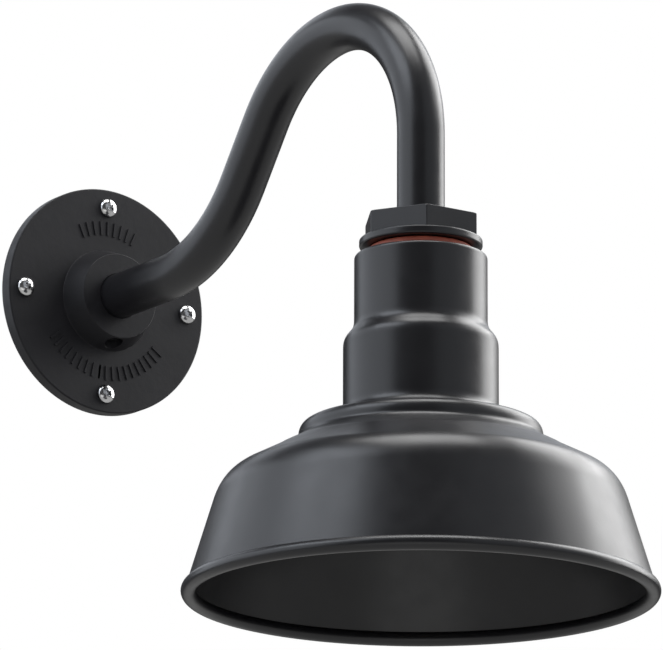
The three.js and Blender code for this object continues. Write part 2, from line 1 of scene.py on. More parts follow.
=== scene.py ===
"""The looks of a gooseneck wall lantern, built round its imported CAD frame.

Every length is in millimetres until a mesh is made, which is in metres. Outer sizes and places come
from the frame's nodes; the named values below give the shapes inside those sizes.
"""

import json
import math

import bmesh
import bpy
from mathutils import Matrix, Vector


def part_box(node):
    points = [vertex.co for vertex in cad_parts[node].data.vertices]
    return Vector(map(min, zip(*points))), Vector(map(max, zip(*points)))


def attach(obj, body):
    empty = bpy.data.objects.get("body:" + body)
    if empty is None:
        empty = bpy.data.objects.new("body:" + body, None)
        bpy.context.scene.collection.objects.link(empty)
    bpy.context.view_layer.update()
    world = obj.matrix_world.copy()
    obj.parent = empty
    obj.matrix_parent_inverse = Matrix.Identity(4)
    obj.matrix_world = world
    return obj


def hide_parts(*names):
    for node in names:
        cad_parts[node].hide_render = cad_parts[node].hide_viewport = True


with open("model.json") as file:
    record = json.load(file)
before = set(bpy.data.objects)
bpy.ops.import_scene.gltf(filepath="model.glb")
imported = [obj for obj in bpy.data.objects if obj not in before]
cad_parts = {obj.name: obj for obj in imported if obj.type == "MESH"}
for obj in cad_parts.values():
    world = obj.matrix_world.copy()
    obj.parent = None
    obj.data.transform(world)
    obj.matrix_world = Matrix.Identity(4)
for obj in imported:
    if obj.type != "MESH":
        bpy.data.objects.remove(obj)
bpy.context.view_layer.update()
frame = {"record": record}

MM = 0.001

# ---------------------------------------------------------------- shapes inside the frame's sizes

# Wall plate and hub
PLATE_EDGE = 6.3
PLATE_ROUND = 0.7
PLATE_RIM = 3.0
RECESS_DEPTH = 3.0
HUB_BASE_RADIUS = 23.7
HUB_FACE_RADIUS = 20.0
HUB_ROUND = 0.35
POCKET_RADIUS = 18.5
POCKET_DEPTH = 7.5
GASKET_MARGIN = 3.5             # from the pocket's wall to the foam gasket
RIB_LENGTH = 6.6
RIB_WIDTH = 1.0
RIB_HEIGHT = 0.45
RIB_PITCH_DEG = 6
RIB_HEAD_CLEARANCE = 2.15
UPPER_RIBS = 9
LOWER_RIBS = 19

# Plate screws and set screw
SHANK_RADIUS = 2.1
SHANK_TIP_CHAMFER = 0.5
HEAD_HEIGHT = 2.6
HEAD_UNDERCUT = 0.3
CROSS_LENGTH = 5.4
CROSS_WIDTH = 1.5
CROSS_DEPTH = 2.1
CROSS_TIP_LENGTH = 0.35         # the recess at its bottom, as a share of its mouth
CROSS_TIP_WIDTH = 0.6
SET_KEY_RADIUS = 2.0
SET_KEY_DEPTH = 3.0
SET_TIP_CHAMFER = 0.5
SET_TOP_CHAMFER = 0.4
THREAD_MARGIN = 0.5             # plain length at each end of a thread
CLEARANCE = 0.3
HOLE_CLEARANCE = 0.4
CUT_PAST = 1.0                  # how far a cut or a join runs past a face

# Small slotted screws: head radius, head height, shank radius
GROUND_SCREW = (2.9, 2.2, 1.8)
BRACKET_SCREW = (2.6, 2.0, 1.5)
SOCKET_SCREW = (2.8, 1.6, 1.5)
TERMINAL_SCREW = (3.2, 2.0, 1.6)
CROWN_ROUND = 0.5
SLOT_SHARE = 1 / 3              # a slot's width, of the head's radius
SMALL_TIP_CHAMFER = 0.3
SMALL_THREAD_PITCH = 0.6
SMALL_THREAD_DEPTH = 0.25

# Arm
PIPE_WALL = 2.2
FIRST_RUN = 56.7
LOW_BEND_RADIUS = 77.3
RISE_ANGLE = math.radians(53.3)
ARCH_RISE_RADIUS = 71.8
ARCH_FALL_RADIUS = 62.3

# Hex fitting
HEX_HEIGHT = 9.4
HEX_RADIUS = 26.5
HEX_CHAMFER = 0.7
HEX_EDGE = 0.6
FLANGE_HEIGHT = 3.6
FLANGE_ROUND = 0.9
PIPE_SOCKET_DEPTH = 13.3
NIPPLE_RADIUS = 15.5
WIRE_BORE_RADIUS = 7.0
NUT_CHAMFER = 0.8
BRACKET_BORE_RADIUS = 8.0

# Shade
SHADE_WALL = 1.4
NECK_HOLE_RADIUS = 15.9
NECK_RADIUS = 28.8
NECK_ROUND = 1.8
NECK_UPPER_HEIGHT = 28.9
NECK_STEP = 4.7
NECK_STEP_HEIGHT = 12.0
NECK_LOWER_HEIGHT = 25.1
SHELF_WIDTH = 13.0
SHELF_DROP = 8.25
RING_ROUND = 6.1
RING_ROUND_DROP = 6.05
COVE_WIDTH = 11.7
COVE_DROP = 7.4
CREASE_WIDTH = 0.8
CREASE_DEPTH = 0.65
CONE_SHARE = 0.61
CONE_DROP = 7.65
SHOULDER_DROP = 13.3
FLARE_WIDTH = 10.9
FLARE_HEIGHT = 35.6
BEAD_RADIUS = 3.2
BEAD_SEAT_DEG = 80
BEAD_TURN_DEG = 330
CORNER_HANDLES = [(1, 0)]
NECK_STEP_HANDLES = [(0, 0.54), (1, 0.46)]
SHELF_HANDLES = [(0, 0.8), (0.35, 0.84)]
COVE_HANDLES = [(0, 0.36), (0.43, 0.55)]
SHOULDER_HANDLES = [(0.7, 0.29)]

# Socket
SOCKET_CHAMFER = 1.5
MOUTH_RADIUS = 14.6
SHELL_THREADS = 4
SHELL_THREAD_DEPTH = 0.5
SHELL_THICKNESS = 0.5
SHELL_STEPS = 12                # points along each thread of the shell
BOSS_RADIUS = 3.7
BOSS_HEIGHT = 7.6
RIVET_RADIUS = 1.0
RIVET_HEAD = 0.9
LEAF_THICKNESS = 0.8
LEAF_SLOPE = 0.7                # the sloping part, of the leaf's length
LEAF_STEPS = 16
LEAD_RADIUS = 1.2
LEAD_SPACING = 1.9              # from the arm's axis to a lead's

# Smoothness
FINE_SIDES = 160
TURNED_SIDES = 96
SMALL_SIDES = 32
PIPE_SIDES = 72
HEAD_SIDES = 64
SCREW_SIDES = 48
WIRE_SIDES = 20
ARM_WIRE_SIDES = 16
CURVE_STEPS = 14
SMOOTH_ANGLE = math.radians(32)
ON_AXIS = 1e-6                  # a smaller radius than this counts as on the axis

# Rounding of sharp edges
CASTING_EDGE = 0.16
FOAM_EDGE = 0.3
SCREW_EDGE = 0.12
SMALL_SCREW_EDGE = 0.1
FITTING_EDGE = 0.35
NUT_EDGE = 0.25
SHEET_EDGE = 0.2
PORCELAIN_EDGE = 0.3
LEAF_EDGE = 0.15

# Materials: the middle of a noise, and where a colour ramp starts and ends
NOISE_LOW = 0.3
NOISE_HIGH = 0.7
RAMP_START = 0.35
RAMP_END = 0.65

# ---------------------------------------------------------------- materials


class Finish:
    """A procedural material, with noise laid out in millimetres of the object's own space."""

    def __init__(self, name, metallic=0.0, roughness=0.5, **sockets):
        self.material = bpy.data.materials.new(name)
        self.material.use_nodes = True
        self.tree = self.material.node_tree
        self.shader = self.tree.nodes["Principled BSDF"]
        self.shader.inputs["Metallic"].default_value = metallic
        self.shader.inputs["Roughness"].default_value = roughness
        for socket, value in sockets.items():
            self.shader.inputs[socket.replace("_", " ")].default_value = value
        self.place = self.tree.nodes.new("ShaderNodeTexCoord").outputs["Object"]
        self.normal = None

    def noise(self, size, detail=2.0, stretch=(1, 1, 1)):
        """Noise whose blotches are about size millimetres across."""
        mapping = self.tree.nodes.new("ShaderNodeMapping")
        mapping.inputs["Scale"].default_value = stretch
        node = self.tree.nodes.new("ShaderNodeTexNoise")
        node.inputs["Scale"].default_value = 1 / (size * MM)
        node.inputs["Detail"].default_value = detail
        self.tree.links.new(self.place, mapping.inputs["Vector"])
        self.tree.links.new(mapping.outputs["Vector"], node.inputs["Vector"])
        return node.outputs["Fac"]

    def spread(self, value, low, high):
        """Maps the middle of a noise on to low..high."""
        node = self.tree.nodes.new("ShaderNodeMapRange")
        node.inputs["From Min"].default_value = NOISE_LOW
        node.inputs["From Max"].default_value = NOISE_HIGH
        node.inputs["To Min"].default_value = low
        node.inputs["To Max"].default_value = high
        self.tree.links.new(value, node.inputs["Value"])
        return node.outputs["Result"]

    def colours(self, size, first, second, detail=3.0):
        ramp = self.tree.nodes.new("ShaderNodeValToRGB")
        ramp.color_ramp.elements[0].position = RAMP_START
        ramp.color_ramp.elements[1].position = RAMP_END
        ramp.color_ramp.elements[0].color = (*first, 1)
        ramp.color_ramp.elements[1].color = (*second, 1)
        self.tree.links.new(self.noise(size, detail), ramp.inputs["Fac"])
        self.tree.links.new(ramp.outputs["Color"], self.shader.inputs["Base Color"])
        return self

    def gloss(self, size, low, high, detail=3.0, stretch=(1, 1, 1)):
        value = self.spread(self.noise(size, detail, stretch), low, high)
        self.tree.links.new(value, self.shader.inputs["Roughness"])
        return self

    def bumps(self, size, depth, detail=2.0, stretch=(1, 1, 1), strength=1.0):
        """Adds relief depth millimetres deep; calls build on one another."""
        bump = self.tree.nodes.new("ShaderNodeBump")
        bump.inputs["Strength"].default_value = strength
        bump.inputs["Distance"].default_value = depth * MM
        self.tree.links.new(self.noise(size, detail, stretch), bump.inputs["Height"])
        if self.normal:
            self.tree.links.new(self.normal, bump.inputs["Normal"])
        self.normal = bump.outputs["Normal"]
        self.tree.links.new(self.normal, self.shader.inputs["Normal"])
        return self


def make_finishes():
    """One material for each slot of the record."""
    coat = Finish("satin_black_coat", roughness=0.36)
    coat.colours(38, (0.0058, 0.0057, 0.0070), (0.0074, 0.0073, 0.0088))
    coat.gloss(9, 0.30, 0.35).bumps(1.1, 0.012).bumps(0.35, 0.003, strength=0.6)
    casting = Finish("cast_black_coat", roughness=0.5, Specular_IOR_Level=0.26)
    casting.colours(22, (0.0062, 0.0060, 0.0076), (0.0080, 0.0078, 0.0096))
    casting.gloss(6, 0.44, 0.54).bumps(2.6, 0.05).bumps(0.7, 0.014, detail=4.0)
    stainless = Finish("bright_stainless", metallic=1.0, roughness=0.16)
    stainless.colours(3, (0.56, 0.56, 0.57), (0.66, 0.66, 0.66)).gloss(1.5, 0.12, 0.22).bumps(0.5, 0.003)
    steel = Finish("zinc_plated_steel", metallic=1.0, roughness=0.35)
    steel.colours(7, (0.42, 0.43, 0.46), (0.55, 0.56, 0.58)).gloss(3, 0.28, 0.44).bumps(0.8, 0.006)
    black_steel = Finish("black_oxide_steel", metallic=1.0, roughness=0.45)
    black_steel.colours(3, (0.020, 0.020, 0.022), (0.035, 0.035, 0.037))
    black_steel.gloss(1, 0.36, 0.54).bumps(0.4, 0.006)
    brass = Finish("satin_brass", metallic=1.0, roughness=0.3)
    brass.colours(8, (0.62, 0.42, 0.15), (0.72, 0.52, 0.22)).gloss(3, 0.24, 0.4).bumps(0.6, 0.004)
    green = Finish("green_screw_dye", metallic=0.6, roughness=0.4)
    green.colours(4, (0.02, 0.17, 0.05), (0.04, 0.25, 0.08)).gloss(2, 0.32, 0.48).bumps(0.5, 0.005)
    silicone = Finish("red_silicone", roughness=0.5, Subsurface_Weight=0.05)
    silicone.colours(5, (0.30, 0.060, 0.034), (0.38, 0.085, 0.048)).gloss(2, 0.44, 0.58).bumps(0.8, 0.012)
    foam = Finish("closed_cell_foam", roughness=0.95)
    foam.colours(2.2, (0.018, 0.018, 0.018), (0.04, 0.04, 0.04))
    foam.gloss(1, 0.85, 1.0).bumps(0.7, 0.16, detail=5.0)
    porcelain = Finish("glazed_porcelain", roughness=0.14, Coat_Weight=0.4, Coat_Roughness=0.05)
    porcelain.colours(14, (0.74, 0.71, 0.63), (0.82, 0.79, 0.71)).gloss(8, 0.1, 0.2).bumps(4.0, 0.05)
    black_wire = Finish("black_insulation", roughness=0.4)
    black_wire.colours(6, (0.008, 0.008, 0.008), (0.014, 0.014, 0.014)).gloss(2, 0.34, 0.5).bumps(1.0, 0.01)
    white_wire = Finish("white_insulation", roughness=0.4)
    white_wire.colours(6, (0.68, 0.67, 0.63), (0.76, 0.75, 0.71)).gloss(2, 0.34, 0.5).bumps(1.0, 0.01)
    green_wire = Finish("green_insulation", roughness=0.4)
    green_wire.colours(6, (0.025, 0.22, 0.07), (0.035, 0.3, 0.1)).gloss(2, 0.34, 0.5).bumps(1.0, 0.01)
    made = {"black_paint": coat, "black_casting": casting, "stainless": stainless, "steel": steel,
            "black_steel": black_steel, "brass": brass, "green_paint": green, "silicone": silicone,
            "foam": foam, "porcelain": porcelain, "black_wire": black_wire, "white_wire": white_wire,
            "green_wire": green_wire}
    return {slot: finish.material for slot, finish in made.items()}


FINISHES = make_finishes()
BODY_OF = {node: body for body, nodes in frame["record"]["behaviour"]["bodies"].items() for node in nodes}
SLOT_OF = {part["node"]: part["material_slot"] for part in frame["record"]["subparts"]}

# ---------------------------------------------------------------- shape helpers


def box(node):
    """The lowest and highest corners of a CAD node, in millimetres."""
    low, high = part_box(node)
    return low / MM, high / MM


def middle(node):
    low, high = box(node)
    return (low + high) / 2


def lathe(outline, sides=TURNED_SIDES):
    """Turned about +Z. The outline of (radius, height) closes on itself or ends on the axis."""
    closed = tuple(outline[0]) == tuple(outline[-1])
    verts = []
    rings = []
    for radius, height in outline[:-1] if closed else outline:
        if radius < ON_AXIS:
            rings.append([len(verts)] * sides)
            verts.append(Vector((0, 0, height)))
            continue
        rings.append(list(range(len(verts), len(verts) + sides)))
        for i in range(sides):
            angle = 2 * math.pi * i / sides
            verts.append(Vector((radius * math.cos(angle), radius * math.sin(angle), height)))
    if closed:
        rings.append(rings[0])
    return verts, band_faces(rings)


def band_faces(rings):
    """Faces between each ring of vertices and the next; a ring may be one vertex, repeated."""
    faces = []
    for low, high in zip(rings, rings[1:]):
        for i in range(len(low)):
            j = (i + 1) % len(low)
            face = list(dict.fromkeys([low[i], low[j], high[j], high[i]]))
            if len(face) > 2:
                faces.append(face)
    return faces


def ring(inner, outer, bottom, top, sides=TURNED_SIDES):
    return lathe([(inner, bottom), (outer, bottom), (outer, top), (inner, top), (inner, bottom)], sides)


def rod(radius, bottom, top, sides=SMALL_SIDES):
    return lathe([(0, bottom), (radius, bottom), (radius, top), (0, top)], sides)


def block(width, depth, height):
    """A box centred on the origin."""
    verts = [Vector((x * width / 2, y * depth / 2, z * height / 2))
             for x in (-1, 1) for y in (-1, 1) for z in (-1, 1)]
    return verts, [[0, 1, 3, 2], [4, 6, 7, 5], [0, 4, 5, 1], [2, 3, 7, 6], [0, 2, 6, 4], [1, 5, 7, 3]]


def tube(path, radius, sides, bore=0.0):
    """A round section carried along a path, with a bore all through if it has one."""
    radii = [radius, bore] if bore else [radius]
    verts = []
    skins = []
    across = (path[1] - path[0]).orthogonal().normalized()
    for size in radii:
        rings = []
        side = across.copy()
        for i, point in enumerate(path):
            ahead = (path[min(i + 1, len(path) - 1)] - path[max(i - 1, 0)]).normalized()
            side = (side - side.dot(ahead) * ahead).normalized()
            other = ahead.cross(side)
            rings.append(list(range(len(verts), len(verts) + sides)))
            for k in range(sides):
                angle = 2 * math.pi * k / sides
                verts.append(point + size * (math.cos(angle) * side + math.sin(angle) * other))
        skins.append(rings)
    if bore:
        return verts, band_faces(skins[0] + skins[1][::-1] + [skins[0][0]])
    return verts, band_faces(skins[0]) + [skins[0][0][::-1], skins[0][-1]]


def moved(shape, offset, turn=None):
    """A shape turned by a matrix if one is given, then moved."""
    verts, faces = shape
    turn = turn or Matrix.Identity(3)
    return [turn @ v + Vector(offset) for v in verts], faces


OUT = Matrix.Rotation(math.pi / 2, 3, "X")      # turns +Z to point away from the wall, at -Y
OVER = Matrix.Rotation(math.pi, 3, "X")         # turns +Z to point down


def as_object(name, shape):
    verts, faces = shape
    mesh = bpy.data.meshes.new(name)
    mesh.from_pydata([v * MM for v in verts], [], faces)
    tidy_mesh(mesh)
    made = bpy.data.objects.new(name, mesh)
    bpy.context.scene.collection.objects.link(made)
    return made


def tidy_mesh(mesh):
    """Faces that point out, shaded smooth but for edges sharper than the smooth angle."""
    work = bmesh.new()
    work.from_mesh(mesh)
    bmesh.ops.recalc_face_normals(work, faces=work.faces)
    for edge in work.edges:
        edge.smooth = len(edge.link_faces) == 2 and edge.calc_face_angle() < SMOOTH_ANGLE
    for face in work.faces:
        face.smooth = True
    work.to_mesh(mesh)
    work.free()


def settle(made):
    """Applies the object's modifiers to its mesh."""
    bpy.context.view_layer.update()
    evaluated = made.evaluated_get(bpy.context.evaluated_depsgraph_get())
    mesh = bpy.data.meshes.new_from_object(evaluated)
    mesh.name = made.name
    made.modifiers.clear()
    made.data = mesh
    tidy_mesh(mesh)


def combine(made, shapes, operation="DIFFERENCE"):
    """Cuts the shapes out of an object, or joins or crosses them with it."""
    tools = []
    for shape in shapes:
        tool = as_object("tool", shape)
        modifier = made.modifiers.new("combine", "BOOLEAN")
        modifier.operation = operation
        modifier.solver = "EXACT"
        modifier.object = tool
        tools.append(tool)
    settle(made)
    for tool in tools:
        bpy.data.objects.remove(tool)
    return made


def round_edges(made, width, segments=3, angle_deg=32):
    """Rounds the sharp edges and keeps the flat faces flat."""
    modifier = made.modifiers.new("round", "BEVEL")
    modifier.width = width * MM
    modifier.segments = segments
    modifier.limit_method = "ANGLE"
    modifier.angle_limit = math.radians(angle_deg)
    modifier.miter_outer = "MITER_ARC"
    modifier.use_clamp_overlap = True
    weighted = made.modifiers.new("flat_faces", "WEIGHTED_NORMAL")
    weighted.keep_sharp = True
    return made


def stand_for(made, *nodes):
    """The piece takes the place of CAD nodes, and the body and finish of the first of them."""
    slot = SLOT_OF[nodes[0]]
    made.data.materials.clear()
    made.data.materials.append(FINISHES[slot])
    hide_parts(*nodes)
    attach(made, BODY_OF[nodes[0]])
    return made


def piece(node, shape):
    return stand_for(as_object("fine_" + node, shape), node)


# ---------------------------------------------------------------- outlines


def curve_on(points, width, drop, handles=(), steps=CURVE_STEPS):
    """Carries an outline on by a width and a drop, straight or on a curve with one or two handles."""
    x, y = points[-1]
    controls = [(x, y)] + [(x + a * width, y - d * drop) for a, d in handles] + [(x + width, y - drop)]
    degree = len(controls) - 1
    count = 1 if degree == 1 else steps
    for step in range(1, count + 1):
        t = step / count
        weights = [math.comb(degree, k) * t**k * (1 - t) ** (degree - k) for k in range(degree + 1)]
        points.append((sum(w * c[0] for w, c in zip(weights, controls)),
                       sum(w * c[1] for w, c in zip(weights, controls))))


def offset(points, distance):
    """The outline moved by a distance to its left-hand side."""
    moved_points = []
    for i, point in enumerate(points):
        before = Vector(points[max(i - 1, 0)])
        after = Vector(points[min(i + 1, len(points) - 1)])
        along = (after - before).normalized()
        moved_points.append((point[0] - along.y * distance, point[1] + along.x * distance))
    return moved_points


def arc(centre, radius, start_deg, end_deg, steps=CURVE_STEPS):
    """Points on a circle from one angle to another."""
    angles = [math.radians(start_deg + (end_deg - start_deg) * i / steps) for i in range(steps + 1)]
    return [(centre[0] + radius * math.cos(a), centre[1] + radius * math.sin(a)) for a in angles]


# ---------------------------------------------------------------- wall side

PLATE_LOW, PLATE_HIGH = box("wall_plate")
PLATE_RADIUS = (PLATE_HIGH.x - PLATE_LOW.x) / 2
HUB_FACE = -PLATE_LOW.y
ARM_LOW, ARM_HIGH = box("gooseneck_arm")
PIPE_RADIUS = (ARM_HIGH.x - ARM_LOW.x) / 2
QUARTERS = {"top": 90, "left": 180, "bottom": 270, "right": 0}
BOLT_CIRCLE = middle("plate_screw_right").x
SCREW_LOW, SCREW_HIGH = box("plate_screw_right")
HEAD_RADIUS = (SCREW_HIGH.x - SCREW_LOW.x) / 2


def on_plate(radius, angle_deg, out=0.0):
    angle = math.radians(angle_deg)
    return Vector((radius * math.cos(angle), -out, radius * math.sin(angle)))


def wall_plate():
    bore = PIPE_RADIUS + CLEARANCE
    hub_corner = (HUB_FACE_RADIUS - HUB_ROUND, HUB_FACE - HUB_ROUND)
    outline = [(bore, HUB_FACE), *arc(hub_corner, HUB_ROUND, 90, 10, 5),
               (HUB_BASE_RADIUS, PLATE_EDGE + HUB_ROUND), (HUB_BASE_RADIUS + HUB_ROUND, PLATE_EDGE),
               *arc((PLATE_RADIUS - PLATE_ROUND, PLATE_EDGE - PLATE_ROUND), PLATE_ROUND, 90, 0, 6),
               (PLATE_RADIUS, 0), (PLATE_RADIUS - PLATE_RIM, 0), (PLATE_RADIUS - PLATE_RIM, RECESS_DEPTH),
               (POCKET_RADIUS, RECESS_DEPTH), (POCKET_RADIUS, POCKET_DEPTH), (bore, POCKET_DEPTH),
               (bore, HUB_FACE)]
    made = as_object("fine_wall_plate", moved(lathe(outline, FINE_SIDES), (0, 0, 0), OUT))
    cuts = screw_holes(PLATE_EDGE)
    set_low, set_high = box("hub_set_screw")
    set_radius = (set_high.x - set_low.x) / 2
    set_hole = rod(set_radius + CLEARANCE, -HUB_BASE_RADIUS - CUT_PAST, -PIPE_RADIUS + CUT_PAST)
    cuts.append(moved(set_hole, (0, middle("hub_set_screw").y, 0)))
    ground = middle("ground_screw")
    ground_end = -box("ground_screw")[0].y - POCKET_DEPTH
    ground_hole = rod(GROUND_SCREW[2] + CLEARANCE, -CUT_PAST, ground_end + CLEARANCE)
    cuts.append(moved(ground_hole, (ground.x, -POCKET_DEPTH, ground.z), OUT))
    combine(made, cuts)
    combine(made, ribs(90, UPPER_RIBS) + ribs(270, LOWER_RIBS), "UNION")
    round_edges(made, CASTING_EDGE, 2, 40)
    return stand_for(made, "wall_plate")


def screw_holes(depth):
    """The four plate screws' holes, through a depth from the wall."""
    hole = rod(SHANK_RADIUS + HOLE_CLEARANCE, -CUT_PAST, depth + CUT_PAST)
    return [moved(hole, on_plate(BOLT_CIRCLE, angle), OUT) for angle in QUARTERS.values()]


def ribs(middle_deg, count):
    """Raised bars along the plate's radius, in a band about an angle."""
    place = BOLT_CIRCLE - HEAD_RADIUS - RIB_HEAD_CLEARANCE - RIB_LENGTH / 2
    shapes = []
    for i in range(count):
        angle = middle_deg + (i - (count - 1) / 2) * RIB_PITCH_DEG
        turn = Matrix.Rotation(math.radians(-angle), 3, "Y")
        rib = block(RIB_LENGTH, 2 * RIB_HEIGHT, RIB_WIDTH)
        shapes.append(moved(rib, on_plate(place, angle, PLATE_EDGE), turn))
    return shapes


def plate_gasket():
    low, high = box("plate_gasket")
    outer = (high.x - low.x) / 2
    shape = ring(POCKET_RADIUS + GASKET_MARGIN, outer, -high.y, -low.y, FINE_SIDES)
    made = as_object("fine_plate_gasket", moved(shape, (0, 0, 0), OUT))
    combine(made, screw_holes(RECESS_DEPTH))
    return stand_for(round_edges(made, FOAM_EDGE), "plate_gasket")


def plate_screw(place, angle):
    """A domed head with a cross recess, its shank running back through the plate."""
    node = "plate_screw_" + place
    low, high = box(node)
    head_base = -low.y - HEAD_HEIGHT
    dome = [(HEAD_RADIUS * math.cos(a), head_base + HEAD_HEIGHT * math.sin(a))
            for a in [math.pi / 2 * i / CURVE_STEPS for i in range(CURVE_STEPS)]]
    outline = [(0, -high.y), (SHANK_RADIUS - SHANK_TIP_CHAMFER, -high.y),
               *thread_line(SHANK_RADIUS, -high.y, head_base), (SHANK_RADIUS, head_base),
               (HEAD_RADIUS - HEAD_UNDERCUT, head_base), *dome, (0, head_base + HEAD_HEIGHT)]
    made = as_object("fine_" + node, moved(lathe(outline, HEAD_SIDES), (0, 0, 0), OUT))
    cuts = []
    for turn_deg in (45, 135):
        wedge = cross_arm(head_base + HEAD_HEIGHT)
        cuts.append(moved(wedge, (0, 0, 0), OUT @ Matrix.Rotation(math.radians(turn_deg), 3, "Z")))
    combine(made, cuts)
    made.data.transform(Matrix.Translation(on_plate(BOLT_CIRCLE, angle) * MM))
    return stand_for(round_edges(made, SCREW_EDGE, 2), node)


def cross_arm(top):
    """One arm of the cross recess: a blade that narrows towards the bottom."""
    verts, faces = block(CROSS_LENGTH, CROSS_WIDTH, 2 * CROSS_DEPTH)
    for v in verts:
        if v.z < 0:
            v.x *= CROSS_TIP_LENGTH
            v.y *= CROSS_TIP_WIDTH
        v.z += top
    return verts, faces


def thread_line(radius, bottom, top, pitch=0.8, depth=0.35):
    """A screw's side as a row of V grooves, from its tip up."""
    count = int((top - bottom - 2 * THREAD_MARGIN) / pitch)
    line = []
    for i in range(count):
        base = bottom + THREAD_MARGIN + i * pitch
        line += [(radius - depth, base), (radius, base + pitch / 2)]
    return line + [(radius - depth, bottom + THREAD_MARGIN + count * pitch)]


def hub_set_screw():
    low, high = box("hub_set_screw")
    radius = (high.x - low.x) / 2
    place = middle("hub_set_screw")
    outline = [(0, low.z), (radius - SET_TIP_CHAMFER, low.z), (radius, low.z + SET_TIP_CHAMFER),
               (radius, high.z - SET_TOP_CHAMFER), (radius - SET_TOP_CHAMFER, high.z), (0, high.z)]
    made = as_object("fine_hub_set_screw", moved(lathe(outline, SCREW_SIDES), (0, place.y, 0)))
    key = rod(SET_KEY_RADIUS, low.z - CUT_PAST, low.z + SET_KEY_DEPTH, 6)
    combine(made, [moved(key, (0, place.y, 0))])
    return stand_for(round_edges(made, SCREW_EDGE, 2), "hub_set_screw")


def slotted_screw(node, sizes, turn, slot_deg=0.0):
    """A small screw with a slotted head, standing in a CAD screw's box along its own axis."""
    head_radius, head_height, shank = sizes
    low, high = box(node)
    length = (high - low)[max(range(3), key=lambda k: abs((turn @ Vector((0, 0, 1)))[k]))]
    top = length / 2
    under = top - head_height
    crown = arc((head_radius - CROWN_ROUND, top - CROWN_ROUND), CROWN_ROUND, 0, 90, 5)
    thread = thread_line(shank, -top, under, SMALL_THREAD_PITCH, SMALL_THREAD_DEPTH)
    outline = [(0, -top), (shank - SMALL_TIP_CHAMFER, -top), *thread, (shank, under),
               (head_radius, under), *crown, (0, top)]
    made = as_object("fine_" + node, lathe(outline, SCREW_SIDES))
    slot = block(2 * head_radius + CUT_PAST, head_radius * SLOT_SHARE, head_height)
    combine(made, [moved(slot, (0, 0, top), Matrix.Rotation(math.radians(slot_deg), 3, "Z"))])
    made.data.transform(Matrix.Translation(middle(node) * MM) @ turn.to_4x4())
    return stand_for(round_edges(made, SMALL_SCREW_EDGE, 2), node)


def ground_lead():
    """From beside the ground screw, round in the pocket and out towards the wall."""
    ground = middle("ground_screw")
    circle = math.hypot(ground.x, ground.z)
    start_deg = math.degrees(math.atan2(ground.z, ground.x))
    level = POCKET_DEPTH - CLEARANCE - LEAD_RADIUS
    start = GROUND_SCREW[0] + LEAD_RADIUS + CLEARANCE
    bend = 2 * LEAD_RADIUS
    places = [(start, level), (start + bend, level), (start + 2 * bend, level - LEAD_RADIUS),
              (start + 2 * bend + LEAD_RADIUS, LEAD_RADIUS)]
    points = [on_plate(circle, start_deg + math.degrees(along / circle), out) for along, out in places]
    return piece("ground_lead", tube(through(points), LEAD_RADIUS, WIRE_SIDES))


def through(points, steps=10):
    """A smooth path through chosen points."""
    ends = [2 * points[0] - points[1], *points, 2 * points[-1] - points[-2]]
    path = [points[0]]
    for a, b, c, d in zip(ends, ends[1:], ends[2:], ends[3:]):
        for i in range(1, steps + 1):
            t = i / steps
            path.append(0.5 * (2 * b + (c - a) * t + (2 * a - 5 * b + 4 * c - d) * t**2
                               + (3 * b - a - 3 * c + d) * t**3))
    return path


# ---------------------------------------------------------------- arm

REACH = -middle("hex_fitting").y
ARCH_TOP = (REACH - ARCH_FALL_RADIUS, ARM_HIGH.z - PIPE_RADIUS)


def arm_line(start, end, aside=0.0, spacing=2.0):
    """The arm's centre line from out = start to z = end, with a point every spacing millimetres."""
    low = (FIRST_RUN, LOW_BEND_RADIUS)
    line = [(start, 0.0)]
    line += bend(low, LOW_BEND_RADIUS, -math.pi / 2, -math.pi / 2 + RISE_ANGLE, spacing)
    climb = (ARCH_TOP[0], ARCH_TOP[1] - ARCH_RISE_RADIUS)
    line += bend(climb, ARCH_RISE_RADIUS, math.pi / 2 + RISE_ANGLE, math.pi / 2, spacing)
    fall = (ARCH_TOP[0], ARCH_TOP[1] - ARCH_FALL_RADIUS)
    line += bend(fall, ARCH_FALL_RADIUS, math.pi / 2, 0.0, spacing)[1:]
    line.append((REACH, end))
    return [Vector((aside, -out, up)) for out, up in line]


def bend(centre, radius, start, end, spacing):
    """Points round a bend in the plane of the arm."""
    count = math.ceil(radius * abs(end - start) / spacing)
    angles = [start + (end - start) * i / count for i in range(count + 1)]
    return [(centre[0] + radius * math.cos(a), centre[1] + radius * math.sin(a)) for a in angles]


def gooseneck_arm():
    line = arm_line(-ARM_HIGH.y, ARM_LOW.z)
    return piece("gooseneck_arm", tube(line, PIPE_RADIUS, PIPE_SIDES, PIPE_RADIUS - PIPE_WALL))


def arm_lead(node):
    low, high = box(node)
    line = arm_line(-high.y, FITTING_TOP - PIPE_SOCKET_DEPTH, (low.x + high.x) / 2)
    return piece(node, tube(line, LEAD_RADIUS, ARM_WIRE_SIDES))


# ---------------------------------------------------------------- lamp end

FITTING_LOW, FITTING_HIGH = box("hex_fitting")
FITTING_TOP = FITTING_HIGH.z
AXIS = Vector((0, -REACH, 0))
FLANGE_RADIUS = (FITTING_HIGH.y - FITTING_LOW.y) / 2
NECK_TOP = box("shade_neck")[1].z
RIM_RADIUS = 102.4


def across(node):
    """The place of a node that stands upright, at height 0."""
    place = middle(node)
    return Vector((place.x, place.y, 0))


